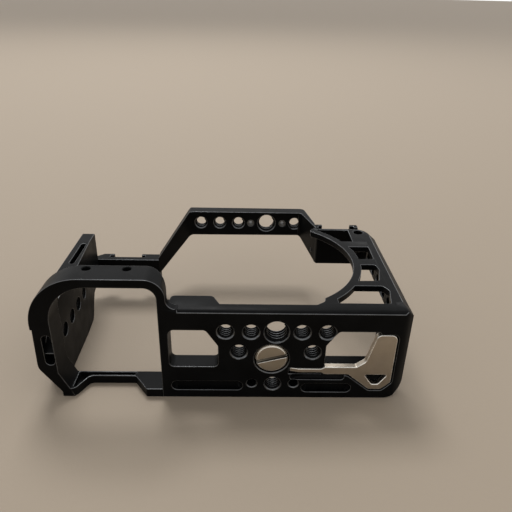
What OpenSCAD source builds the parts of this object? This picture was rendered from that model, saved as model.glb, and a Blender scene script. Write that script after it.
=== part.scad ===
// Camera cage, lying on its back as it rests on a table.
// X runs along the camera's width, Y from the camera's bottom to its top, Z from its back to its lens.
// The origin is on the table, in the middle of the cage's width and height.

/* [Cage] */
// Overall width, grip side to port side
cage_w = 150; // [149.5:0.1:151]
// Overall height, outer bottom face to the top of the bridge
cage_h = 106; // [105.5:0.1:107]
// Depth from the table to the front face of the frame
front_z = 42.8; // [42.5:0.1:43.5]
// Depth from the table to the front of the arch round the battery door
arch_z = 55.8; // [55:0.1:57]
// Distance of the lens axis from the middle of the width
axis_x = 20.6; // [20.4:0.1:20.8]

/* [Base plate] */
// Thickness of the base plate
base_t = 7.7; // [7.5:0.1:8]
// Thickness of the base plate's front rim
rim_t = 5; // [4.8:0.1:5.2]
// Grip side end of the base plate, beside the battery door
base_left = -24.7; // [-24.9:0.1:-24.5]
// Distance from the table to the front row of threaded holes
row_z = 33; // [32.8:0.1:33.2]
// Pitch of the front row of threaded holes
row_pitch = 10.05; // [10:0.05:10.1]
// Distance from the table to the camera screw's axis
screw_z = 20; // [19.8:0.1:20.2]

/* [Threads and fasteners] */
// Radius of the 1/4 in thread's bore
quarter_r = 3.2; // [3.175:0.025:3.225]
// Radius of the 3/8 in thread's bore
three_eighths_r = 4.8; // [4.775:0.025:4.825]
// Radius of a small screw's shank
small_r = 1.25; // [1.2:0.05:1.3]
// Clearance between a small screw and its hole
small_gap = 0.05; // [0.04:0.01:0.06]

/* [Side plates and top] */
// Thickness of the grip side plate
side_t = 6.8; // [6.6:0.1:7]
// Distance from the table to the front edge of the grip side plate
side_z = 38.5; // [38:0.1:39]
// Inner face of the port side strip
port_x = 68.7; // [68.6:0.1:68.8]
// Inner face of both top shoulders, above the cage's bottom
shoulder_y = 77.2; // [77.1:0.1:77.3]
// Thickness of the top shoulders
shoulder_t = 4.8; // [4.7:0.1:4.9]
// Thickness of the bridge over the viewfinder hump
bridge_t = 6.5; // [6.4:0.1:6.6]

/* [Camera screw] */
// Radius of the knurled head
head_r = 6.65; // [6.6:0.05:6.7]
// Thickness of the head
head_t = 3; // [2.9:0.1:3.1]
// Thread pitch of a 1/4 in screw, 20 to the inch
screw_pitch = 1.27; // [1.27]
// Turns between tight and fully backed out
screw_turns = 3; // [3]

/* [Hidden] */
$fn = 64;
eps = 0.01;
half_w = cage_w / 2;
left_x = -half_w;

anodised = [0.13, 0.135, 0.14];
steel = [0.72, 0.71, 0.69];

// ---------- outlines ----------

function unit(v) = v / norm(v);
function turn(a, b) = a[0] * b[1] - a[1] * b[0];
function flat(p) = [p[0], p[1]];
function at(points, i) = points[(i + len(points)) % len(points)];
function to_prev(points, i) = unit(flat(at(points, i - 1)) - flat(at(points, i)));
function to_next(points, i) = unit(flat(at(points, i + 1)) - flat(at(points, i)));
function half_angle(points, i) = acos(to_prev(points, i) * to_next(points, i)) / 2;
function cut_back(points, i) = at(points, i)[2] / tan(half_angle(points, i));
function corner_ends(points, i) = [
    flat(at(points, i)) + to_prev(points, i) * cut_back(points, i),
    flat(at(points, i)) + to_next(points, i) * cut_back(points, i)
];
function bisector(points, i) = unit(to_prev(points, i) + to_next(points, i));
function outward(points, i) = turn(-to_prev(points, i), to_next(points, i)) > 0;

// What lies between a corner and its arc, with a margin past the corner's sides.
// The arc is drawn a hair large, so that it crosses the sides at clear points.
margin = 0.25;
hair = 0.004;
module corner_waste(points, i) {
    half = half_angle(points, i);
    ends = corner_ends(points, i);
    past = unit(ends[1] - ends[0]) * margin / cos(half);
    corner = flat(at(points, i));
    r = at(points, i)[2];
    difference() {
        polygon([ends[0] - past, ends[1] + past, corner - bisector(points, i) * margin / sin(half)]);
        translate(corner + bisector(points, i) * r / sin(half)) circle(r + hair);
    }
}

// Closed outline with true round corners; the points run anticlockwise as [x, y, corner radius]
module outline(points) {
    round_ones = [for (i = [0:len(points) - 1]) if (at(points, i)[2] > 0) i];
    difference() {
        union() {
            polygon([for (p = points) flat(p)]);
            for (i = round_ones) if (!outward(points, i)) corner_waste(points, i);
        }
        for (i = round_ones) if (outward(points, i)) corner_waste(points, i);
    }
}

// Slot with round ends between two points
module slot(from, to, r) {
    along = unit(to - from);
    side = [-along[1], along[0]] * r;
    polygon([from + side, from - side, to - side, to + side]);
    translate(from) circle(r);
    translate(to) circle(r);
}

// ---------- directions ----------

// An X-Z outline made t thick along Y, from y
module along_y(y, t) translate([0, y + t, 0]) rotate([90, 0, 0]) linear_extrude(t) children();
// A Y-Z outline made t thick along X, from x
module along_x(x, t) translate([x, 0, 0]) rotate([90, 0, 90]) linear_extrude(t) children();
// An X-Y outline made t thick along Z, from z
module along_z(z, t) translate([0, 0, z]) linear_extrude(t) children();
// Moves a piece drawn from the outer bottom face into the centred frame
module in_frame() translate([0, -cage_h / 2, 0]) children();

// A drilled hole along Y with a countersunk mouth at its outer end, from y to y + t
mouth = 0.5;
module drill_y(x, y, z, r, t) translate([x, y, z]) rotate([-90, 0, 0]) {
    translate([0, 0, -eps]) cylinder(h = t + 2 * eps, r = r);
    translate([0, 0, -eps]) cylinder(h = mouth, r1 = r + mouth, r2 = r);
}
// The same along X, countersunk at both ends
module drill_x(x, y, z, r, t) translate([x, y, z]) rotate([0, 90, 0]) {
    translate([0, 0, -eps]) cylinder(h = t + 2 * eps, r = r);
    translate([0, 0, -eps]) cylinder(h = mouth, r1 = r + mouth, r2 = r);
    translate([0, 0, t - mouth + eps]) cylinder(h = mouth, r1 = r, r2 = r + mouth);
}

// ---------- base plate ----------

row_x = axis_x + 0.8;
second_row_z = 23.4;
second_row_x = 14.8;
screw_x = axis_x - 0.8;
rear_hole_z = 7.3;
pin_gap = 8.6;
pin_r = 1.9;
rear_corner_r = 8.5;
rim_z = 38.8;
lip_t = 2.9;
lip_left = -20.8;
tool_gap = 0.5;
pocket_t = 3.1;
edge_flat = 4;
edge_fall = 2.6;

// Outline of the screwdriver's blade, shank and paddle; gap grows it for the pocket
blade_z = 14.05;
paddle_right = 69.6;
function tool_points(gap) = [
    [27.4 - gap, 13.1 - gap, 0], [40.2, 13.1 - gap, 0], [41.8, 12.2 - gap, 0],
    [51.4 - gap / 2, 12.2 - gap, 1.5], [60.6, 4.5 - gap, 2.5], [65.9 + gap / 2, 4.5 - gap, 2.5],
    [paddle_right + gap, 8.2, 2], [paddle_right + gap, 31.8 + gap, 2.6],
    [61.6 - gap, 31.8 + gap, 2.4], [58.2 - gap, 18.6 + gap / 2, 3],
    [54.6 - gap / 2, 15.9 + gap, 2], [41.8, 15.9 + gap, 0], [40.2, 15 + gap, 0], [27.4 - gap, 15 + gap, 0]
];
left_window = [[-21.2, 15.9, 2], [-1.7, 15.9, 2], [-1.7, 26.2, 2], [-6.6, 33.6, 2], [-21.2, 33.6, 2.5]];
right_window = [[41.4, 16, 1], [62.6, 16, 1], [62.6, 33.4, 1], [46.1, 33.4, 2], [41.4, 26.7, 2]];
head_gap = 0.3;
head_y = 0.1;
washer_t = 0.5;
seat_y = head_y + head_t + washer_t;
web_t = 1;
shank_gap = 0.05;
well_r = 4.4;

module base_plate() color(anodised) in_frame() difference() {
    union() {
        along_y(0, base_t) outline([
            [base_left, 0, 0], [half_w, 0, rear_corner_r], [half_w, front_z, 0], [base_left, front_z, 0]
        ]);
        // raised lip that the camera's front edge rests against
        along_z(front_z - lip_t, lip_t) outline([
            [lip_left, rim_t - 1, 0], [-0.7, rim_t - 1, 0], [-3.9, 11, 2.5], [lip_left, 11, 2]
        ]);
    }
    // thinner rim along the front, behind the lip and beside it
    translate([lip_left, rim_t, rim_z]) cube([port_x - lip_left, base_t, front_z - lip_t - rim_z]);
    translate([-1, rim_t, rim_z]) cube([port_x + 1, base_t, front_z]);
    // broken front edge and the sloping bands at the port side end
    along_x(toe_right, half_w - toe_right + 1)
        polygon([[-eps, front_z - 1.2], [1.3, front_z + eps], [-eps, front_z + eps]]);
    along_z(-eps, front_z + 1)
        polygon([[half_w - edge_flat, -eps], [half_w + eps, -eps], [half_w + eps, edge_fall]]);
    port_edge_cut(-eps, base_t + 2 * eps);
    // windows and the screwdriver's pocket
    along_y(-eps, base_t + 5) outline(left_window);
    along_y(-eps, base_t + 2 * eps) outline(right_window);
    along_y(-eps, pocket_t) outline(tool_points(tool_gap));
    along_y(-eps, 1.6) slot([29, 11], [48.5, 11], 1.4);
    // grooves near the rear edge
    along_y(-eps, 1.8) slot([-18.6, 6.2], [6, 6.2], 2.3);
    along_y(-eps, 1.8) slot([34.8, 5.3], [50.9, 5.3], 2.25);
    // threaded holes
    for (i = [-2, -1, 1, 2]) drill_y(row_x + i * row_pitch, 0, row_z, quarter_r, base_t);
    for (side = [-1, 1]) drill_y(row_x + side * second_row_x, 0, second_row_z, quarter_r, base_t);
    drill_y(row_x, 0, row_z, three_eighths_r, base_t);
    drill_y(axis_x, 0, rear_hole_z, quarter_r, base_t);
    for (side = [-1, 1]) drill_y(axis_x + side * pin_gap, 0, rear_hole_z + 0.2, pin_r, 4);
    // stepped seat of the camera screw
    translate([screw_x, 0, screw_z]) rotate([-90, 0, 0]) {
        translate([0, 0, -eps]) cylinder(h = seat_y + eps, r = head_r + head_gap);
        translate([0, 0, -eps]) cylinder(h = mouth, r1 = head_r + head_gap + mouth, r2 = head_r + head_gap);
        cylinder(h = base_t, r = shank_r + shank_gap);
        translate([0, 0, seat_y + web_t]) cylinder(h = base_t, r = well_r);
    }
    // seats of the magnets under the screwdriver
    for (p = magnet_places) translate([p[0], tool_back_y, p[1]]) rotate([-90, 0, 0])
        cylinder(h = magnet_t, r = magnet_r);
    dowel_holes(base_dowels);
    dowel_holes(arch_dowels);
}

// Sloping band that the port side's front edge carries
band_w = 3.4;
band_t = 3;
module port_edge_cut(y, t) along_y(y, t)
    polygon([
        [half_w - band_w, front_z + eps], [half_w + eps, front_z - band_t], [half_w + eps, front_z + eps]
    ]);

// Lower half of the frame round the battery door: a notched rail and the foot of the grip side
module battery_rail() color(anodised) in_frame() {
    difference() {
        union() {
            along_z(0, rail_t) outline([
                [-66, 0, 0], [-60.8, 0, 3], [-56.6, 8.2, 3], [-37.4, 8.2, 1.5],
                [-31.4, 0, 1], [base_left, 0, 0], [base_left, rail_y, 0], [-66, rail_y, 0]
            ]);
            along_y(0, arch_y) outline([
                [left_x + 10.6, 0, 0], [left_x + 14, 0, 0], [left_x + 12.4, rail_t, 0],
                [left_x + leg_w, 12, 0], [left_x + leg_w, arch_foot_z, 0],
                [left_x + 1.4, arch_foot_z, 0], [left_x + 0.9, 14.5, 6]
            ]);
        }
        // channel along the rail's top, which opens out into a pocket behind the rounded foot
        along_z(rail_t - channel_t, rail_t) outline([
            [-61.8, 1.4, 0.4], [-60.6, 1.4, 0.4], [-56.9, 9.1, 1.5], [-38.2, 9.1, 0.8],
            [-36.6, channel_y, 0.4], [-61.8, channel_y, 0.4]
        ]);
        // strap slot: in at the front of the foot and out at its side
        along_y(-eps, strap_t) slot([strap_x, 18.1], [strap_x, 28.5], strap_r);
        along_x(left_x - 1, strap_x - left_x + 1)
            outline([[3.4, 18.4, 1], [strap_t, 18.4, 1], [strap_t, 28.6, 1], [3.4, 28.6, 1]]);
        dowel_holes(arch_dowels);
        dowel_holes(base_dowels);
    }
    // bar with a sloping top that the strap wraps round
    along_x(strap_x - strap_r - 0.4, 2 * strap_r + 0.8)
        polygon([[0.9, 21.2], [strap_t + 0.2, 28.4], [strap_t + 0.2, 22.6], [1.3, 20.2]]);
}
strap_x = left_x + 6.4;
strap_r = 1.9;
strap_t = 8;
leg_w = 8.7;
rail_t = 4.1;
rail_y = 11.3;
channel_t = 2.7;
channel_y = 10.7;

// ---------- arch and grip side ----------

arch_y = 11.3;
arch_foot_z = 33;
arch_band = 3.6;
arch_left = left_x + 0.7;
arch_right = base_left + 3.4;
// The rounded toe that leads from the arch into the base plate's front edge
toe_right = arch_right + 4.2;
toe_t = 0.3;
toe_y = 3.6;
arch_holes_x = [-52.1, -36.6];
arch_hole_r = 1.5;

module grip_arch() color(anodised) in_frame() difference() {
    intersection() {
        along_y(0, arch_y) outline([
            [arch_left, arch_foot_z, 0], [left_x + leg_w, arch_foot_z, 0],
            [left_x + leg_w, arch_z - arch_band, 16], [base_left, arch_z - arch_band, 5],
            [base_left, front_z, 0], [toe_right, front_z, 0], [toe_right, front_z + toe_t, 0],
            [arch_right, front_z + toe_t, toe_right - arch_right - 0.2],
            [arch_right, arch_z, 8], [arch_left, arch_z, 21]
        ]);
        union() {
            along_z(0, arch_z + 1) outline([
                [left_x, 0, 0], [arch_right, 0, 0], [arch_right, arch_y, 8], [left_x, arch_y, 0]
            ]);
            along_z(0, arch_z + 1) translate([arch_right - 1, 0]) square([toe_right - arch_right + 1, toe_y]);
        }
    }
    for (x = arch_holes_x) translate([x, 8.7, arch_z - arch_band - eps]) {
        cylinder(h = arch_band + 2 * eps, r = arch_hole_r);
        translate([0, 0, arch_band - mouth + 2 * eps])
            cylinder(h = mouth, r1 = arch_hole_r, r2 = arch_hole_r + mouth);
    }
    dowel_holes(arch_dowels);
}

side_hole_z = 21.9;
side_holes_y = [17, 27, 37, 47];
side_far_y = shoulder_y + 1.3;

module grip_side_plate() color(anodised) in_frame() difference() {
    intersection() {
        along_x(left_x, side_t + 3) outline([
            [arch_y, 0, 0], [57, 0, 3], [65, 11, 3], [side_far_y, 12, 0],
            [side_far_y, side_z, 1], [arch_y, side_z, 0]
        ]);
        along_z(0, side_z) polygon([
            [arch_left, arch_y], [left_x + side_t + 1.2, arch_y], [left_x + side_t + 0.6, 44],
            [left_x + side_t - 0.8, 69], [left_x + side_t - 0.8, side_far_y],
            [left_x, side_far_y], [left_x, 24]
        ]);
    }
    // row of threaded holes, right through the plate where it is thickest
    for (y = side_holes_y) drill_x(left_x, y, side_hole_z, quarter_r, side_t + 2);
    // strap slot through the front edge, open to the outside
    along_z(side_z - 9, 12) slot([left_x + 4, 46], [left_x + 4, 65], 1.2);
    along_x(left_x - 1, 5) outline([[44.8, 29.5, 1], [66.2, 29.5, 1], [66.2, 33.5, 1], [44.8, 33.5, 1]]);
    dowel_holes(arch_dowels);
    screw_holes(grip_top_screws);
}

// ---------- shoulders and bridge ----------

shoe_foot_w = 18.6;
shoe_mouth_w = 14.6;
shoe_floor_y = shoulder_y + shoulder_t - 0.2;
shoe_lip_y = shoe_floor_y + 2.1;
shoe_top_y = shoe_lip_y + 1.5;
grip_shoe_x = -54.3;
port_shoe_x = 56.7;

// Section of an accessory shoe's channel, centred on x
module shoe_section(x) {
    translate([x - shoe_foot_w / 2, shoe_floor_y]) square([shoe_foot_w, shoe_lip_y - shoe_floor_y]);
    translate([x - shoe_mouth_w / 2, shoe_floor_y]) square([shoe_mouth_w, 10]);
}

grip_shoulder_z = [10, 23.3];
bridge_left_x = -37;
module grip_shoulder() color(anodised) in_frame() difference() {
    along_z(grip_shoulder_z[0], grip_shoulder_z[1] - grip_shoulder_z[0]) outline([
        [left_x, side_far_y, 0], [bridge_left_x, side_far_y, 0], [bridge_left_x, shoe_top_y, 0],
        [-67, shoe_top_y, 1], [-70.5, 82.6, 1], [left_x, 82, 3]
    ]);
    along_z(grip_shoulder_z[0] - 1, 20) shoe_section(grip_shoe_x);
    screw_holes(grip_top_screws);
    dowel_holes(bridge_dowels);
    stop_hole(grip_shoe_x, grip_stop_z);
}

bridge_in_y = cage_h - bridge_t;
bridge_right_x = 45.6;
hump_z = 28.9;
hole_z = 36.4;
hump_first = 15.65;
hump_pitch = 10.4;

module top_bridge() color(anodised) in_frame() difference() {
    intersection() {
        along_z(0, front_z) outline([
            [bridge_left_x, side_far_y, 0], [-21.7, bridge_in_y, 4], [39.6, bridge_in_y, 2],
            [bridge_right_x, 79.4, 0], [bridge_right_x, shoe_top_y, 0], [41.6, cage_h, 3],
            [-23, cage_h, 3], [bridge_left_x, shoe_top_y, 0]
        ]);
        along_y(0, cage_h) outline([
            [bridge_left_x, 15, 0], [-21.7, hump_z, 4], [38.8, hump_z + 0.4, 3], [bridge_right_x, 23.6, 0],
            [bridge_right_x, front_z, 0], [-22, front_z, 1.5], [bridge_left_x, 24.6, 0]
        ]);
    }
    for (x = [-hump_first, -hump_first - hump_pitch, -hump_first - 2 * hump_pitch, hump_first])
        through_bridge(axis_x + x, quarter_r);
    through_bridge(axis_x, three_eighths_r);
    for (side = [-1, 1]) translate([axis_x + side * 8.8, bridge_in_y - 1, hole_z]) rotate([-90, 0, 0])
        cylinder(h = bridge_t + 2, r = pin_r);
    dowel_holes(bridge_dowels);
}

// A hole through the bridge, countersunk inside and outside
module through_bridge(x, r) translate([x, bridge_in_y, hole_z]) rotate([-90, 0, 0]) {
    translate([0, 0, -eps]) cylinder(h = bridge_t + 2 * eps, r = r);
    translate([0, 0, -eps]) cylinder(h = mouth, r1 = r + mouth, r2 = r);
    translate([0, 0, bridge_t - mouth + eps]) cylinder(h = mouth, r1 = r, r2 = r + mouth);
}

port_low_z = 23.2;
strip_end_y = 71;
corner_r = 10.5;
shoe_front_z = 42.2;
gusset_t = 5;
gusset_left = 61.7;
gusset_low = 63.4;
shoe_right_x = port_shoe_x + shoe_foot_w / 2 + 2;

module port_shoulder() color(anodised) in_frame() difference() {
    union() {
        difference() {
            union() {
                along_z(port_low_z, front_z - port_low_z) outline([
                    [bridge_right_x, 79.4, 0], [46.5, shoulder_y, 0.8], [port_x, shoulder_y, 4],
                    [port_x, strip_end_y, 0], [half_w, strip_end_y, 0],
                    [half_w, shoulder_y + shoulder_t, corner_r], [bridge_right_x, shoulder_y + shoulder_t, 0]
                ]);
                // thick front corner that carries the corner hole
                along_z(front_z - gusset_t, gusset_t) outline([
                    [gusset_left, gusset_low, 0], [port_x, gusset_low, 0],
                    [port_x, strip_end_y, 0], [port_x + 1, strip_end_y, 0], [port_x + 1, shoulder_y + 1, 0],
                    [gusset_left, shoulder_y + 1, 0]
                ]);
            }
            // sloping band round the corner
            port_edge_cut(strip_end_y - eps, shoulder_y + shoulder_t - corner_r - strip_end_y + eps);
            translate([half_w - corner_r, shoulder_y + shoulder_t - corner_r, 0]) difference() {
                translate([0, 0, front_z - band_t]) cube([corner_r + 1, corner_r + 1, band_t + 1]);
                translate([0, 0, front_z - band_t - eps])
                    cylinder(h = band_t + 2 * eps, r1 = corner_r, r2 = corner_r - band_w);
                translate([0, 0, front_z - band_t - 1]) cylinder(h = 1 + eps, r = corner_r);
            }
            along_x(bridge_right_x - 1, half_w - corner_r - bridge_right_x + 1) polygon([
                [shoulder_y + shoulder_t - band_w, front_z + eps],
                [shoulder_y + shoulder_t + eps, front_z - band_t],
                [shoulder_y + shoulder_t + eps, front_z + eps]
            ]);
        }
        // rails of the accessory shoe
        along_z(port_low_z, shoe_front_z - port_low_z) translate([bridge_right_x, shoe_floor_y])
            square([shoe_right_x - bridge_right_x, shoe_top_y - shoe_floor_y]);
    }
    along_z(port_low_z - 1, 30) shoe_section(port_shoe_x);
    // corner hole in the front face
    translate([66.6, 74.6, front_z - gusset_t - eps]) cylinder(h = gusset_t + 2 * eps, r = corner_hole_r);
    dowel_holes(bridge_dowels);
    dowel_holes(port_dowels);
    stop_hole(port_shoe_x, port_stop_z);
}
corner_hole_r = 2.5;

// ---------- port side and front web ----------

port_holes_y = [17, 27, 37, 47, 57];
port_hole_z = 36.6;
strip_back_z = 33;

module port_side_strip() color(anodised) in_frame() difference() {
    along_x(port_x, half_w - port_x) outline([
        [base_t, 22, 0], [16, strip_back_z, 6], [61, strip_back_z, 6], [strip_end_y, port_low_z, 0],
        [strip_end_y, front_z, 0], [base_t, front_z, 0]
    ]);
    // threaded holes, countersunk inside only, so that they stay clear of the sloping band outside
    for (y = port_holes_y) drill_x(port_x, y, port_hole_z, quarter_r, half_w - port_x + 2);
    port_edge_cut(base_t - eps, strip_end_y - base_t + 2 * eps);
    dowel_holes(base_dowels);
    dowel_holes(port_dowels);
}

web_front_t = 2.9;
ring_x = 17.2;
ring_y = 43;
ring_in = 40.5;
ring_out = 44;
module front_web() color(anodised) in_frame() difference() {
    along_z(front_z - web_front_t, web_front_t) difference() {
        outline([
            [37, rim_t, 0], [port_x, rim_t, 0], [port_x, gusset_low, 0], [gusset_left, gusset_low, 0],
            [gusset_left, shoulder_y, 0], [46.5, shoulder_y, 0], [45.2, 80.4, 0], [42.2, 76.4, 0],
            [42.2, 20, 0], [40.6, 7.6, 3]
        ]);
        translate([ring_x, ring_y]) circle(ring_in);
        // windows outside the lens ring
        difference() {
            union() {
                polygon([[40, gusset_low], [gusset_left + 1, gusset_low], [gusset_left + 1, 82], [47.4, 82],
                    [47.4, shoulder_y], [40, shoulder_y]]);
                outline([[55, 44.7, 0], [68, 44.7, 0.8], [68.2, 57.7, 0.8], [50, 57.7, 0]]);
                outline([[52, 24.3, 0], [66, 24.6, 1], [68.2, 34.6, 2], [67.6, 39.2, 1.5], [54, 39.2, 0]]);
                outline([
                    [45.9, 6.4, 1], [66.6, 6.4, 1], [68.4, 16.4, 1.5], [66.4, 20.2, 1.5], [45.9, 20.2, 0]
                ]);
            }
            translate([ring_x, ring_y]) circle(ring_out);
        }
    }
}

// ---------- camera screw ----------

screw_travel = screw_pitch * screw_turns;
shank_r = 2.4;
thread_r = 3.175;
// The thread starts past the web that keeps the screw captive, even when the screw is backed out
thread_start = seat_y + web_t + screw_travel + 0.2 - head_y;
tip_start = 12.1;
tip_bevel = 0.6;
head_bevel = 0.5;
slot_w = 1.7;
slot_t = 1.2;
slot_tilt = 15;

module camera_screw() color(steel) in_frame()
    translate([screw_x, head_y, screw_z]) rotate([-90, 0, 0]) difference() {
        union() {
            cylinder(h = head_bevel, r1 = head_r - head_bevel, r2 = head_r);
            translate([0, 0, head_bevel]) cylinder(h = head_t - head_bevel, r = head_r);
            translate([0, 0, head_t]) cylinder(h = thread_start - head_t, r = shank_r);
            translate([0, 0, thread_start]) cylinder(h = tip_start - thread_start, r = thread_r);
            translate([0, 0, tip_start]) cylinder(h = tip_bevel, r1 = thread_r, r2 = thread_r - tip_bevel);
        }
        rotate(-slot_tilt) translate([-head_r - 1, -slot_w / 2, -1])
            cube([2 * head_r + 2, slot_w, slot_t + 1]);
    }

module screw_washer() color([0.2, 0.2, 0.2]) in_frame()
    translate([screw_x, head_y + head_t, screw_z]) rotate([-90, 0, 0]) difference() {
        cylinder(h = washer_t, r = head_r - 0.6);
        translate([0, 0, -eps]) cylinder(h = washer_t + 2 * eps, r = shank_r + shank_gap);
    }

// ---------- screwdriver ----------

tool_y = 0.2;
tool_t = 2.7;
tool_back_y = tool_y + tool_t;
ground_off = 0.8;
module screwdriver() color(steel) in_frame() difference() {
    along_y(tool_y, tool_t) outline(tool_points(0));
    along_y(tool_y - 1, tool_t + 2)
        outline([[58.2, 12.1, 0.6], [61.7, 7.2, 1.2], [64.4, 7.2, 1.2], [67.8, 12.1, 0.6]]);
    // ground tip of the blade
    along_z(blade_z - 3, 6) polygon([[27.3, -1], [31, -1], [31, tool_y], [27.3, tool_y + ground_off]]);
    along_z(blade_z - 3, 6) polygon([
        [27.3, tool_back_y - ground_off], [31, tool_back_y], [31, tool_back_y + 2], [27.3, tool_back_y + 2]
    ]);
}

magnet_r = 1.8;
magnet_t = 1.5;
magnet_places = [[66.6, 15.2], [45, 14], [65.8, 27]];
module tool_magnets() color(steel) in_frame() for (p = magnet_places)
    translate([p[0], tool_back_y, p[1]]) rotate([-90, 0, 0]) cylinder(h = magnet_t, r = magnet_r - 0.03);

// ---------- small parts ----------

bush_hole_r = 1.1;
module locating_bushes() color(steel) in_frame() for (side = [-1, 1])
    translate([axis_x + side * 8.8, bridge_in_y + 0.2, hole_z]) rotate([-90, 0, 0]) difference() {
        cylinder(h = bridge_t - 0.4, r = pin_r - 0.02);
        translate([0, 0, -eps]) cylinder(h = bridge_t, r = bush_hole_r);
    }

pad_t = 0.8;
module base_pads() color([0.06, 0.06, 0.06]) in_frame() along_y(base_t, pad_t) {
    outline([[-20.5, 2.5, 1.5], [8.5, 2.5, 1.5], [8.5, 13, 1.5], [-20.5, 13, 1.5]]);
    outline([[31, 2.5, 1.5], [58, 2.5, 1.5], [58, 11, 1.5], [31, 11, 1.5]]);
}

// Dowels, centred on the seams that they cross: [x, y, z, rotation, half length]
dowel_r = 1;
across_x = [0, 90, 0];
across_y = [-90, 0, 0];
across_z = [0, 0, 0];
port_dowel_x = half_w - 3.2;
base_dowels = concat(
    [for (z = [29.5, 36.5]) [port_dowel_x, base_t, z, across_y, 3.5]],
    [for (y = [2.6, 5.8]) [base_left, y, rail_t / 2, across_x, 3.5]]
);
arch_dowels = concat(
    [for (y = [2.6, 6.6]) [left_x + 4.5, y, arch_foot_z, across_z, 2.8]],
    [for (z = [14.6, 31]) [left_x + 4, arch_y, z, across_y, 3]],
    [for (y = [2.2, 5.2]) [base_left + 1.7, y, front_z, across_z, 3.5]]
);
bridge_dowels = concat(
    [for (z = [19, 22]) [bridge_left_x, 84, z, across_x, 2.5]],
    [for (z = [28, 36]) [bridge_right_x, 83.9, z, across_x, 1.5]]
);
port_dowels = [for (z = [30, 37]) [port_dowel_x, strip_end_y, z, across_y, 3]];
module dowel(d, r, half) translate([d[0], d[1], d[2]]) rotate(d[3]) translate([0, 0, -half])
    cylinder(h = 2 * half, r = r);
module dowel_holes(list) for (d = list) dowel(d, dowel_r, d[4] + 0.1);
module dowels(list) color(steel) in_frame() for (d = list) dowel(d, dowel_r - 0.02, d[4]);
module base_plate_dowels() dowels(base_dowels);
module arch_frame_dowels() dowels(arch_dowels);
module top_bridge_dowels() dowels(bridge_dowels);
module port_strip_dowels() dowels(port_dowels);

// Small socket screws: [x, y, z, rotation, length under the head]; the head faces outwards
cap_r = 2.3;
cap_t = 1.6;
socket_r = 1;
socket_t = 1;
to_bottom = [90, 0, 0];
grip_top_screws = [for (z = [14, 19.4]) [left_x + 3, 80.2, z, to_bottom, 9]];
module small_screw(s, grow, clear) translate([s[0], s[1], s[2]]) rotate(s[3]) {
    translate([0, 0, -cap_t - clear]) cylinder(h = cap_t + clear, r = cap_r + grow);
    cylinder(h = s[4] + (clear > 0 ? 0.5 : 0), r = small_r + grow);
}
module screw_holes(list) for (s = list) small_screw(s, small_gap, 8);
module screws(list) color(steel) in_frame() for (s = list) difference() {
    small_screw(s, 0, 0);
    translate([s[0], s[1], s[2]]) rotate(s[3]) translate([0, 0, -cap_t - eps])
        cylinder(h = socket_t, r = socket_r, $fn = 6);
}
module grip_shoulder_screws() screws(grip_top_screws);

// Stop screws that end the accessory shoes' channels
stop_r = 1;
grip_stop_z = 12.2;
port_stop_z = 25.6;
stop_t = 2.5;
stop_cap_t = 1.1;
stop_places = [[grip_shoe_x, grip_stop_z], [port_shoe_x, port_stop_z]];
module stop_hole(x, z) translate([x, shoe_floor_y - stop_t, z]) rotate([-90, 0, 0])
    cylinder(h = stop_t + 0.5, r = stop_r + 0.02);
module shoe_stops() color(steel) in_frame() for (s = stop_places)
    translate([s[0], shoe_floor_y - stop_t, s[1]]) rotate([-90, 0, 0]) {
        cylinder(h = stop_t, r = stop_r);
        translate([0, 0, stop_t]) cylinder(h = stop_cap_t, r = stop_r + 0.8);
    }

base_plate();
battery_rail();
grip_arch();
grip_side_plate();
grip_shoulder();
top_bridge();
port_shoulder();
port_side_strip();
front_web();
camera_screw();
screw_washer();
screwdriver();
tool_magnets();
locating_bushes();
base_pads();
base_plate_dowels();
arch_frame_dowels();
top_bridge_dowels();
grip_shoulder_screws();
port_strip_dowels();
shoe_stops();
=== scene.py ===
"""Looks of a camera cage that lies on its back on a table: a black anodised frame milled from aluminium,
with its steel camera screw seated in the base plate and a flat screwdriver parked beside it."""

import math

import bmesh
import bpy
from mathutils import Matrix, Vector
from mathutils.bvhtree import BVHTree


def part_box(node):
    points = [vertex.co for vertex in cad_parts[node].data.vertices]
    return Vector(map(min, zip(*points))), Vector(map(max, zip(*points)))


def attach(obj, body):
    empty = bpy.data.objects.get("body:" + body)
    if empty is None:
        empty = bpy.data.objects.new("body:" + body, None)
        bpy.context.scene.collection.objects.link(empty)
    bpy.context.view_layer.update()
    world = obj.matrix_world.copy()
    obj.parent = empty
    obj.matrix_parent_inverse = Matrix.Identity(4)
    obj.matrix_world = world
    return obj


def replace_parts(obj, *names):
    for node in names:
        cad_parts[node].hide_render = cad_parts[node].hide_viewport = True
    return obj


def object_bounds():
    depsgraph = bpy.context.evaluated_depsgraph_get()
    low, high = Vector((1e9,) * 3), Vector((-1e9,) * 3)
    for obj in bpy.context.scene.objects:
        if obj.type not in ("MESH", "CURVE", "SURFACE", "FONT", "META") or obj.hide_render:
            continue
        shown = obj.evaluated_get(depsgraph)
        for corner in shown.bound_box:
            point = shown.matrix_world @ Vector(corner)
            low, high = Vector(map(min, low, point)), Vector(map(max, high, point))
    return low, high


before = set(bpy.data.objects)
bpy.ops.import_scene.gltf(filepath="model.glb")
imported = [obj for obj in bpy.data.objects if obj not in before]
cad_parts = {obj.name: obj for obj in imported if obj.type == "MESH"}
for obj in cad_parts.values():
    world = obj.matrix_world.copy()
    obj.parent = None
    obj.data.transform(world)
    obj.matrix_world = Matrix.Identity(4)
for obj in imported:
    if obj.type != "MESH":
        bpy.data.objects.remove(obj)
cad_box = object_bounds()

# ---------- table, lamps and camera ----------
# The cage lies on a plain pale table in a light room. One broad soft lamp hangs above and behind it,
# and the camera stands in front, looks down by about 27 degrees and is held a little askew.

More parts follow.
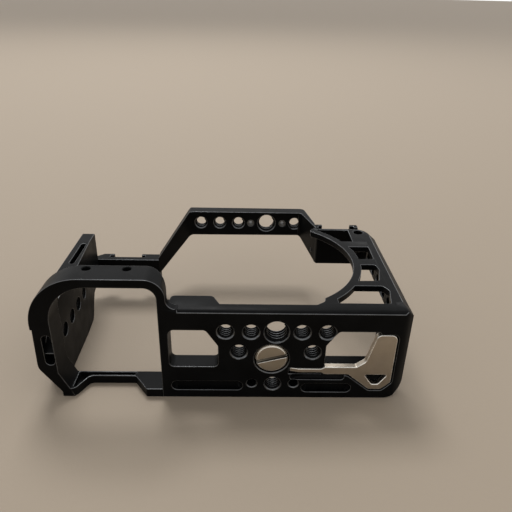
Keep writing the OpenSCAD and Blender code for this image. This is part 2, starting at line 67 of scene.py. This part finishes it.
MM = 0.001
table_size = 200.0
table_tone = (0.41, 0.335, 0.255, 1)
table_roughness = 0.7
table_grain = 900
lamp_place = Vector((-0.3, 1.1, 1.9))
lamp_size = 0.8
lamp_power = 22.0
room_light = 0.55
seen_light = 1.0
camera_place = Vector((7.94, -218.54, 150.59)) * MM
camera_pitch = math.radians(26.95)
camera_roll = math.radians(1.42)
camera_yaw = math.radians(1.58)
camera_lens = 36.22
sensor_width = 36
nearest_seen = 0.01


def put_in_scene(name, data):
    item = bpy.data.objects.new(name, data)
    bpy.context.scene.collection.objects.link(item)
    return item


def shader(name):
    """A new material, its node tree and its Principled shader."""
    material = bpy.data.materials.new(name)
    material.use_nodes = True
    return material, material.node_tree, material.node_tree.nodes["Principled BSDF"]


def object_noise(tree, scale, detail=2.0, roughness=0.5):
    """Noise laid out in metres on the piece itself."""
    place = tree.nodes.new("ShaderNodeTexCoord")
    noise = tree.nodes.new("ShaderNodeTexNoise")
    noise.inputs["Scale"].default_value = scale
    noise.inputs["Detail"].default_value = detail
    noise.inputs["Roughness"].default_value = roughness
    tree.links.new(place.outputs["Object"], noise.inputs["Vector"])
    return noise.outputs["Fac"]


def bumpy(tree, surface, height, strength, distance):
    """Raises the surface's look by the height, up to a distance."""
    bump = tree.nodes.new("ShaderNodeBump")
    bump.inputs["Strength"].default_value = strength
    bump.inputs["Distance"].default_value = distance
    tree.links.new(height, bump.inputs["Height"])
    tree.links.new(bump.outputs["Normal"], surface.inputs["Normal"])


def table_mesh():
    bm = bmesh.new()
    bmesh.ops.create_grid(bm, x_segments=1, y_segments=1, size=table_size / 2)
    mesh = bpy.data.meshes.new("table_top")
    bm.to_mesh(mesh)
    return mesh


table = put_in_scene("table_top", table_mesh())
table_paint, tree, surface = shader("table_paint")
surface.inputs["Base Color"].default_value = table_tone
surface.inputs["Roughness"].default_value = table_roughness
bumpy(tree, surface, object_noise(tree, table_grain), strength=0.12, distance=0.4 * MM)
table.data.materials.append(table_paint)

lamp = put_in_scene("soft_lamp", bpy.data.lights.new("soft_lamp", "AREA"))
lamp.data.size = lamp_size
lamp.data.energy = lamp_power
lamp.location = lamp_place
lamp.rotation_euler = (-lamp_place).to_track_quat("-Z", "Y").to_euler()

# The room: white where the camera and shiny surfaces see it, softer where it lights the cage
room = bpy.data.worlds.new("room")
bpy.context.scene.world = room
room.use_nodes = True
sky = room.node_tree.nodes["Background"]
sky.inputs["Color"].default_value = (1, 1, 1, 1)
path = room.node_tree.nodes.new("ShaderNodeLightPath")
seen = path.outputs["Is Camera Ray"]
for ray in ("Is Glossy Ray", "Is Transmission Ray"):
    either = room.node_tree.nodes.new("ShaderNodeMath")
    either.operation = "MAXIMUM"
    room.node_tree.links.new(seen, either.inputs[0])
    room.node_tree.links.new(path.outputs[ray], either.inputs[1])
    seen = either.outputs[0]
strength = room.node_tree.nodes.new("ShaderNodeMapRange")
strength.inputs["To Min"].default_value = room_light
strength.inputs["To Max"].default_value = seen_light
room.node_tree.links.new(seen, strength.inputs["Value"])
room.node_tree.links.new(strength.outputs["Result"], sky.inputs["Strength"])

camera = put_in_scene("camera", bpy.data.cameras.new("camera"))
camera.data.lens = camera_lens
camera.data.sensor_width = sensor_width
camera.data.clip_start = nearest_seen
ahead = Vector((
    math.sin(camera_yaw) * math.cos(camera_pitch),
    math.cos(camera_yaw) * math.cos(camera_pitch),
    -math.sin(camera_pitch),
))
level = Vector((math.cos(camera_yaw), -math.sin(camera_yaw), 0))
upright = level.cross(ahead)
right = level * math.cos(camera_roll) + upright * math.sin(camera_roll)
up = upright * math.cos(camera_roll) - level * math.sin(camera_roll)
turned = Matrix((right, up, -ahead)).transposed().to_4x4()
camera.matrix_world = Matrix.Translation(camera_place) @ turned
bpy.context.scene.camera = camera
bpy.context.scene.view_settings.view_transform = "Standard"

# ---------- base plate ----------
# The base plate and the rest of the frame are milled from aluminium, bead blasted and anodised black.
# The cutter leaves flat faces with finely broken edges that catch the light, and the screw holes
# are tapped: 1/4 in by 20 to the inch, and 3/8 in by 16 in the middle of the row.

frame_nodes = (
    "base_plate", "battery_rail", "grip_arch", "grip_side_plate", "grip_shoulder",
    "top_bridge", "port_shoulder", "port_side_strip", "front_web",
)
black = (0.0024, 0.0025, 0.0026, 1)
cloud_black = (0.0048, 0.0050, 0.0052, 1)
edge_tone = (0.13, 0.134, 0.138, 1)
noise_low = 0.3
noise_high = 0.7
weld = 0.002 * MM
near = 0.01 * MM
flat_within = math.radians(0.8)
crease = math.radians(32)
chamfer_corner = 40
square_corner = 50
long_edge = 8 * MM
seam_reach = 0.35 * MM
broken_width = 0.2 * MM
rounding_steps = 3
mouth = 0.5 * MM
rim_slack = 0.1 * MM
quarter_inch = {"root_r": 3.26 * MM, "crest_r": 2.62 * MM, "pitch": 1.27 * MM}
three_eighths = {"root_r": 4.86 * MM, "crest_r": 4.06 * MM, "pitch": 1.5875 * MM}
ridge_foot = 0.42
ridge_crest = 0.09
steps_a_turn = 24


def spread(tree, noise, low, high):
    """Noise, which seldom leaves its middle range, spread between low and high."""
    ranged = tree.nodes.new("ShaderNodeMapRange")
    ranged.inputs["From Min"].default_value = noise_low
    ranged.inputs["From Max"].default_value = noise_high
    ranged.inputs["To Min"].default_value = low
    ranged.inputs["To Max"].default_value = high
    tree.links.new(noise, ranged.inputs["Value"])
    return ranged.outputs["Result"]


def mottled(tree, surface, tone, other, scale):
    """A base colour that drifts between two tones in soft clouds."""
    colour = tree.nodes.new("ShaderNodeMix")
    colour.data_type = "RGBA"
    colour.inputs["A"].default_value = tone
    colour.inputs["B"].default_value = other
    clouds = spread(tree, object_noise(tree, scale, detail=4.0), low=0, high=1)
    tree.links.new(clouds, colour.inputs["Factor"])
    tree.links.new(colour.outputs["Result"], surface.inputs["Base Color"])


def darker(tone, share):
    return [share * part for part in tone[:3]] + [1]


def black_anodised():
    """Black anodised aluminium over a fine bead-blasted grain."""
    material, tree, surface = shader("black_anodised")
    mottled(tree, surface, black, cloud_black, scale=90)
    cloudy = spread(tree, object_noise(tree, scale=160, detail=3.0), low=0.33, high=0.43)
    tree.links.new(cloudy, surface.inputs["Roughness"])
    surface.inputs["Specular IOR Level"].default_value = 0.05
    grain = object_noise(tree, scale=5200, detail=2.0, roughness=0.6)
    bumpy(tree, surface, grain, strength=0.10, distance=0.06 * MM)
    return material


def bright_edge(name, tone, roughness):
    """The thin line where an edge is broken: the metal shines through and takes a little wear."""
    material, tree, surface = shader(name)
    surface.inputs["Metallic"].default_value = 0.8
    mottled(tree, surface, darker(tone, 0.6), tone, scale=240)
    wear = object_noise(tree, scale=900, detail=3.0)
    worn = spread(tree, wear, low=roughness - 0.05, high=roughness + 0.08)
    tree.links.new(worn, surface.inputs["Roughness"])
    return material


def finished(bm, name, materials, body, slot_name, *nodes):
    """The piece as an object with smooth faces and crisp corners, which rides on its body."""
    mesh = bpy.data.meshes.new(name)
    bmesh.ops.triangulate(bm, faces=[face for face in bm.faces if len(face.verts) > 4])
    bm.to_mesh(mesh)
    bm.free()
    mesh.shade_smooth()
    mesh.set_sharp_from_angle(angle=crease)
    for material in materials:
        mesh.materials.append(material)
    piece = put_in_scene(name, mesh)
    flat = piece.modifiers.new("flat_faces", "WEIGHTED_NORMAL")
    flat.keep_sharp = True
    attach(piece, body)
    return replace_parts(piece, *nodes)


def solid_copy(*nodes):
    """The nodes' own solids with flat faces joined, as one bmesh."""
    bm = bmesh.new()
    for node in nodes:
        bm.from_mesh(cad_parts[node].data)
    bmesh.ops.remove_doubles(bm, verts=bm.verts, dist=weld)
    bmesh.ops.dissolve_limit(bm, angle_limit=flat_within, verts=bm.verts, edges=bm.edges)
    return bm


def outer_corners(bm, least_degrees):
    least = math.radians(least_degrees)
    return [e for e in bm.edges if len(e.link_faces) == 2 and e.calc_face_angle_signed() > least]


def break_edges(bm, edges, width):
    """Rounds these edges, which take the piece's second, brighter finish."""
    made = bmesh.ops.bevel(
        bm, geom=edges, offset=width, offset_type="OFFSET", segments=rounding_steps, profile=0.5,
        affect="EDGES", clamp_overlap=False, material=-1,
    )
    for face in made["faces"]:
        face.material_index = 1


def bright_mouth(bm, start, axis, radius):
    """Gives a hole's countersink, which ends at start, the brighter finish."""
    for face in bm.faces:
        arm = face.calc_center_median() - start
        along = arm.dot(axis)
        off = (arm - axis * along).length
        if -mouth < along < 0 and radius - rim_slack < off < radius + mouth:
            face.material_index = 1


def thread_ridge(bm, start, axis, length, root_r, crest_r, pitch):
    """A thread's helical ridge on the wall of a bore or on a shank, closed at both ends."""
    foot = ridge_foot * pitch
    crest = ridge_crest * pitch
    side = axis.orthogonal().normalized()
    others = set(bm.faces)
    profile = ((root_r, -foot), (crest_r, -crest), (crest_r, crest), (root_r, foot))
    first = [bm.verts.new(start + axis * (foot + along) + side * r) for r, along in profile]
    loop = [bm.edges.new(ends) for ends in zip(first, first[1:] + first[:1])]
    steps = int((length - 2 * foot) / pitch * steps_a_turn)
    made = bmesh.ops.spin(
        bm, geom=first + loop, cent=start, axis=axis, dvec=axis * pitch / steps_a_turn,
        angle=steps * math.tau / steps_a_turn, steps=steps, use_merge=False,
    )
    last = [e for e in made["geom_last"] if isinstance(e, bmesh.types.BMEdge)]
    bmesh.ops.holes_fill(bm, edges=loop + last, sides=len(profile))
    ridge = [face for face in bm.faces if face not in others]
    bmesh.ops.recalc_face_normals(bm, faces=ridge)
    for face in ridge:
        if all(abs((v.co - start).cross(axis).length - crest_r) < near for v in face.verts):
            face.material_index = 1


def surface_tree(node):
    """A node's surface, in the form that finds the nearest point on it."""
    bm = solid_copy(node)
    tree = BVHTree.FromBMesh(bm)
    bm.free()
    return tree


def milled(node, threads=(), plain_holes=(), sharp=None, bm=None):
    """A frame piece with its outer corners broken, but not along the flush seams with its neighbours,
    and with its holes tapped. A thread is (start, axis, length, size), a plain hole (start, axis, r).
    A chamfer's corners are broken only where they are long, and edges whose middle answers sharp
    stay as the cutter left them."""
    bm = bm or solid_copy(node)

    def stays_sharp(edge):
        middle = (edge.verts[0].co + edge.verts[1].co) / 2
        if sharp and sharp(middle):
            return True
        return any(surfaces[n].find_nearest(middle, seam_reach)[0] for n in frame_nodes if n != node)

    def catches_light(edge):
        return edge.calc_face_angle() > math.radians(square_corner) or edge.calc_length() > long_edge

    corners = outer_corners(bm, chamfer_corner)
    break_edges(bm, [e for e in corners if catches_light(e) and not stays_sharp(e)], broken_width)
    for start, axis, length, size in threads:
        bright_mouth(bm, start, axis, size["root_r"])
        thread_ridge(bm, start, axis, length, **size)
    for start, axis, radius in plain_holes:
        bright_mouth(bm, start, axis, radius)
    return finished(bm, node + "_milled", anodised, "cage", "anodised_frame", node)


anodised = (black_anodised(), bright_edge("anodised_edge", edge_tone, roughness=0.28))
surfaces = {node: surface_tree(node) for node in frame_nodes}

bottom = cad_box[0][1]
into_base = Vector((0, 1, 0))
base_thread = 7.0 * MM
base_mouth = bottom + mouth
row_x = 21.4 * MM
row_pitch = 10.05 * MM
row_z = 33 * MM
second_row_x = 14.8 * MM
second_row_z = 23.4 * MM
rear_hole = Vector((20.6 * MM, base_mouth, 7.3 * MM))
pin_gap = 8.6 * MM
pin_lift = 0.2 * MM
pin_hole_r = 1.9 * MM
screw_seat = Vector((19.8 * MM, base_mouth, 20 * MM))
seat_r = 6.95 * MM
pocket_rim = 1.0 * MM
pocket_floor = 4.5 * MM
plate_t = 7.7 * MM
lip_foot_x = -1.0 * MM
lip_slope_x = -2.391 * MM
snap = 0.02 * MM

base_threads = [(Vector((row_x, base_mouth, row_z)), into_base, base_thread, three_eighths)]
for step in (-2, -1, 1, 2):
    place = Vector((row_x + step * row_pitch, base_mouth, row_z))
    base_threads.append((place, into_base, base_thread, quarter_inch))
for side in (-1, 1):
    place = Vector((row_x + side * second_row_x, base_mouth, second_row_z))
    base_threads.append((place, into_base, base_thread, quarter_inch))
base_threads.append((rear_hole, into_base, base_thread, quarter_inch))
base_plain_holes = [(screw_seat, into_base, seat_r)]
for side in (-1, 1):
    pin_hole = rear_hole + Vector((side * pin_gap, 0, pin_lift))
    base_plain_holes.append((pin_hole, into_base, pin_hole_r))


def in_pocket(middle):
    return pocket_rim < middle.y - bottom < pocket_floor


# The lip's end runs down to the rim in one slope
plate = solid_copy("base_plate")
for vert in plate.verts:
    if abs(vert.co.x - lip_foot_x) < snap and abs(vert.co.y - bottom - plate_t) < snap:
        vert.co.x = lip_slope_x
bmesh.ops.remove_doubles(plate, verts=plate.verts, dist=near)
milled("base_plate", base_threads, base_plain_holes, in_pocket, plate)

# ---------- battery rail ----------
# The lower half of the frame round the battery door: a low notched rail, with the grip side's foot
# and its strap slot, milled and anodised with the rest.

milled("battery_rail")

# ---------- grip arch ----------
# The raised half of that frame, a slim band bent round the grip's front corner, with two small
# holes drilled through its top.

milled("grip_arch")

# ---------- grip side plate ----------
# The flat side beside the camera's grip, with four tapped 1/4 in holes for a handle and a strap slot
# cut through its front edge.

across = Vector((1, 0, 0))
grip_holes_y = (17, 27, 37, 47)
grip_hole_z = 21.9 * MM
grip_thread_x = -74.2 * MM
grip_thread = 6.3 * MM
grip_starts = [Vector((grip_thread_x, bottom + y * MM, grip_hole_z)) for y in grip_holes_y]
milled("grip_side_plate", [(start, across, grip_thread, quarter_inch) for start in grip_starts])

# ---------- grip shoulder ----------
# The low shoulder above the grip, milled with an accessory shoe's undercut channel along its top
# and two counterbores for the screws that hold the grip side plate.

milled("grip_shoulder")

# ---------- top bridge ----------
# The bridge over the viewfinder's hump, with sloping ends and a row of holes tapped through its top:
# four 1/4 in ones and a 3/8 in one over the lens axis.

lens_x = 20.6 * MM
small_holes_x = (-36.45, -26.05, -15.65, 15.65)
bridge_thread = 5.0 * MM
bridge_thread_y = bottom + 100 * MM
bridge_hole_z = 36.4 * MM
middle_hole = Vector((lens_x, bridge_thread_y, bridge_hole_z))
bridge_threads = []
for x in small_holes_x:
    place = middle_hole + x * MM * across
    bridge_threads.append((place, into_base, bridge_thread, quarter_inch))
bridge_threads.append((middle_hole, into_base, bridge_thread, three_eighths))
milled("top_bridge", bridge_threads)

# ---------- port shoulder ----------
# The shoulder at the port side's corner, with a second accessory shoe and a round front corner hole,
# milled with the rest of the frame.

milled("port_shoulder")

# ---------- port side strip ----------
# The slim strip down the port side, with five tapped 1/4 in holes and a sloping band on its front edge.
# The holes stand so near the band that their rims are left sharp.

port_holes_y = (17, 27, 37, 47, 57)
port_hole_z = 36.6 * MM
port_thread_x = 69.2 * MM
port_thread = 5.5 * MM
port_rim_r = 3.5 * MM
port_starts = [Vector((port_thread_x, bottom + y * MM, port_hole_z)) for y in port_holes_y]
port_threads = [(start, across, port_thread, quarter_inch) for start in port_starts]


def on_port_rim(middle):
    return any((middle - start).yz.length < port_rim_r for start in port_starts)


milled("port_side_strip", port_threads, sharp=on_port_rim)

# ---------- front web ----------
# The thin web between the lens opening and the port side, with windows round the lens ring. It is
# part of the same milling.

milled("front_web")

# ---------- camera screw ----------
# The captive 1/4 in screw that holds the camera: turned from stainless steel, with a knurled rim,
# a coin slot across its head and a rolled thread at the end of a thinner neck.

screw_tone = (0.42, 0.37, 0.30, 1)
slot_painted_shade_tone = (0.13, 0.115, 0.09, 1)
bright_tone = (0.96, 0.92, 0.85, 1)
ring_pitch = 0.5 * MM
wave_rate = 20
slot_tilt = math.radians(15)
slot_half_w = 1.1 * MM
slot_floor_half_w = 0.9 * MM
slot_depth = 1.3 * MM
rim_start = 0.85
rim_end = 3.2 * MM
knurl_turns = 60
knurl = 0.34 * MM
knurl_valley = 0.22 * MM
knurl_middle = 1.75 * MM
knurl_length = 2.3 * MM
on_edge = math.radians(45)
core_r = 2.5 * MM
neck_end = 8.2 * MM
screw_thread = {"root_r": 2.42 * MM, "crest_r": 3.165 * MM, "pitch": 1.27 * MM}
thread_start = 8.5 * MM
thread_length = 3.8 * MM
thread_end = 12.2 * MM
tip_end = 13 * MM
tip_taper = 0.8
turned_corner = 35
turned_width = 0.16 * MM


def satin_steel(name, tone, roughness, rings_round=None):
    """Stainless steel with the fine grain, or the turned rings, of its making."""
    material, tree, surface = shader(name)
    surface.inputs["Metallic"].default_value = 1.0
    mottled(tree, surface, darker(tone, 0.86), tone, scale=130)
    stains = object_noise(tree, scale=420, detail=3.0)
    satin = spread(tree, stains, low=roughness - 0.06, high=roughness + 0.06)
    tree.links.new(satin, surface.inputs["Roughness"])
    if rings_round is None:
        grain = object_noise(tree, scale=3500, detail=2.0, roughness=0.6)
        bumpy(tree, surface, grain, strength=0.12, distance=0.06 * MM)
        return material
    place = tree.nodes.new("ShaderNodeTexCoord")
    centred = tree.nodes.new("ShaderNodeMapping")
    centred.inputs["Location"].default_value = (-rings_round.x, 0, -rings_round.z)
    rings = tree.nodes.new("ShaderNodeTexWave")
    rings.wave_type = "RINGS"
    rings.rings_direction = "Y"
    rings.inputs["Scale"].default_value = math.tau / (wave_rate * ring_pitch)
    tree.links.new(place.outputs["Object"], centred.inputs["Vector"])
    tree.links.new(centred.outputs["Vector"], rings.inputs["Vector"])
    bumpy(tree, surface, rings.outputs["Fac"], strength=0.25, distance=0.02 * MM)
    return material


def pulled_in(bm, centre, first, last, least_r, new_r):
    """Brings a round stretch of a part, between two distances along its axis, to a new radius."""
    for vert in bm.verts:
        arm = Vector((vert.co.x - centre.x, 0, vert.co.z - centre.z))
        if first <= vert.co.y - centre.y <= last and arm.length > least_r:
            arm *= new_r(arm.length) / arm.length
            vert.co.x = centre.x + arm.x
            vert.co.z = centre.z + arm.z


screw_low, screw_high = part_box("camera_screw")
head_r = (screw_high[0] - screw_low[0]) / 2
screw_centre = Vector((screw_low[0] + head_r, screw_low[1], screw_low[2] + head_r))
bm = solid_copy("camera_screw")
# The slot's floor and walls take a much darker steel: painted shade for the shade inside the coin slot
for face in bm.faces:
    arm = face.calc_center_median() - screw_centre
    off = abs(arm.z * math.cos(slot_tilt) - arm.x * math.sin(slot_tilt))
    if rim_slack < arm.y < slot_depth and off < slot_floor_half_w:
        face.material_index = 2
pulled_in(bm, screw_centre, -MM, rim_end, rim_start * head_r, lambda r: r - knurl_valley)
pulled_in(bm, screw_centre, neck_end, thread_end, core_r, lambda r: core_r)
pulled_in(bm, screw_centre, thread_end, tip_end, 0, lambda r: r * tip_taper)
break_edges(bm, outer_corners(bm, turned_corner), turned_width)

# The knurl is a ring of narrow bars that stand on edge, left out where the slot cuts the rim
bar = Matrix.Diagonal((knurl, knurl_length, knurl, 1))
bar_r = head_r - knurl / math.sqrt(2)
for i in range(knurl_turns):
    angle = math.tau * (i + 0.5) / knurl_turns
    if abs(math.sin(angle - slot_tilt)) * head_r < slot_half_w:
        continue
    out = Vector((math.cos(angle), 0, math.sin(angle))) * bar_r
    place = Matrix.Translation(screw_centre + out + knurl_middle * into_base)
    turned_edge = Matrix.Rotation(on_edge - angle, 4, "Y")
    bmesh.ops.create_cube(bm, size=1, matrix=place @ turned_edge @ bar)

thread_ridge(bm, screw_centre + thread_start * into_base, into_base, thread_length, **screw_thread)
steel_edge = bright_edge("steel_edge", bright_tone, roughness=0.22)
turned_steel = satin_steel("screw_steel", screw_tone, roughness=0.34, rings_round=screw_centre)
# The darker steel in the coin slot is painted shade, not a different metal
slot_painted_shade = satin_steel("slot_painted_shade", slot_painted_shade_tone, roughness=0.5)
screw_steels = (turned_steel, steel_edge, slot_painted_shade)
finished(bm, "turned_screw", screw_steels, "screw", "screw_steel", "camera_screw")

# ---------- screw washer ----------
# A thin washer of black nylon under the screw's head, cut from sheet. It keeps the steel off the
# anodised seat.

nylon = (0.02, 0.02, 0.021, 1)


def matt_dark(name, tone, roughness, grain_scale, grain_bump):
    """A dull dark finish with a fine grain of its own."""
    material, tree, surface = shader(name)
    surface.inputs["Base Color"].default_value = tone
    patches = object_noise(tree, grain_scale / 6, detail=3.0)
    patchy = spread(tree, patches, low=roughness - 0.08, high=roughness + 0.08)
    tree.links.new(patchy, surface.inputs["Roughness"])
    bumpy(tree, surface, object_noise(tree, grain_scale), grain_bump, distance=0.1 * MM)
    return material


def edged(name, materials, body, slot_name, *nodes, width):
    """Small parts with their outer corners broken, as made by turning, stamping or moulding."""
    bm = solid_copy(*nodes)
    break_edges(bm, outer_corners(bm, chamfer_corner), width)
    return finished(bm, name, materials, body, slot_name, *nodes)


sheet = matt_dark("nylon_sheet", nylon, roughness=0.5, grain_scale=2500, grain_bump=0.1)
edged("washer_ring", (sheet, sheet), "washer", "washer_plastic", "screw_washer", width=0.05 * MM)

# ---------- screwdriver ----------
# The flat screwdriver in the base plate's pocket: stamped from stainless sheet, tumbled, with the
# blade's tip ground on both faces. Its upper edges are worn bright.

tool_tone = (0.44, 0.385, 0.315, 1)
tool_steels = (satin_steel("tool_steel", tool_tone, roughness=0.36), steel_edge)
edged("flat_screwdriver", tool_steels, "tool", "tool_steel", "screwdriver", width=0.34 * MM)

# ---------- tool magnets ----------
# Three small nickel plated disc magnets, pressed into the pocket's floor, that hold the screwdriver.
# Their plating is bright and their rims are softly rounded.

nickel = (0.55, 0.53, 0.48, 1)
platings = (satin_steel("magnet_nickel", nickel, roughness=0.22), steel_edge)
edged("pocket_magnets", platings, "cage", "magnet_plating", "tool_magnets", width=0.12 * MM)

# ---------- locating bushes ----------
# Two turned steel bushes, pressed into the bridge either side of the 3/8 in hole, that take the
# locating pins of a handle.

bush_tone = (0.16, 0.155, 0.145, 1)
bush = satin_steel("bush_steel", bush_tone, roughness=0.45)
edged("pin_bushes", (bush, bush), "cage", "steel_pins", "locating_bushes", width=0.12 * MM)

# ---------- base pads ----------
# Two thin rubber pads, glued to the base plate's inner face, that grip the camera's underside.
# They are cut from sheet, with soft edges.

rubber = (0.018, 0.018, 0.019, 1)
pad = matt_dark("pad_rubber", rubber, roughness=0.72, grain_scale=1500, grain_bump=0.35)
edged("camera_pads", (pad, pad), "cage", "rubber_pads", "base_pads", width=0.25 * MM)

# ---------- dowels ----------
# Dark ground steel dowels, pressed across the seams between the frame's pieces. They are all but
# hidden once the frame is together.

dowel_nodes = ("base_plate_dowels", "arch_frame_dowels", "top_bridge_dowels", "port_strip_dowels")
dark_steel = (0.035, 0.035, 0.036, 1)
ground = satin_steel("ground_steel", dark_steel, roughness=0.5)
for node in dowel_nodes:
    edged(node + "_ground", (ground, ground), "cage", "steel_pins", node, width=0.15 * MM)

# ---------- grip shoulder screws ----------
# Two black oxide screws with hexagonal sockets, which clamp the grip side plate up under its
# shoulder. Their heads lie in the shoulder's counterbores.

oxide = (0.022, 0.022, 0.024, 1)
blacked = matt_dark("black_oxide", oxide, roughness=0.38, grain_scale=3000, grain_bump=0.08)
oxides = (blacked, blacked)
edged("shoulder_screws", oxides, "cage", "black_screws", "grip_shoulder_screws", width=0.15 * MM)

# ---------- shoe stops ----------
# One small steel pin with a low head in each accessory shoe, pressed in, which stops what slides in.
# It has the dowels' finish.

edged("shoe_stop_pins", (ground, ground), "cage", "steel_pins", "shoe_stops", width=0.15 * MM)
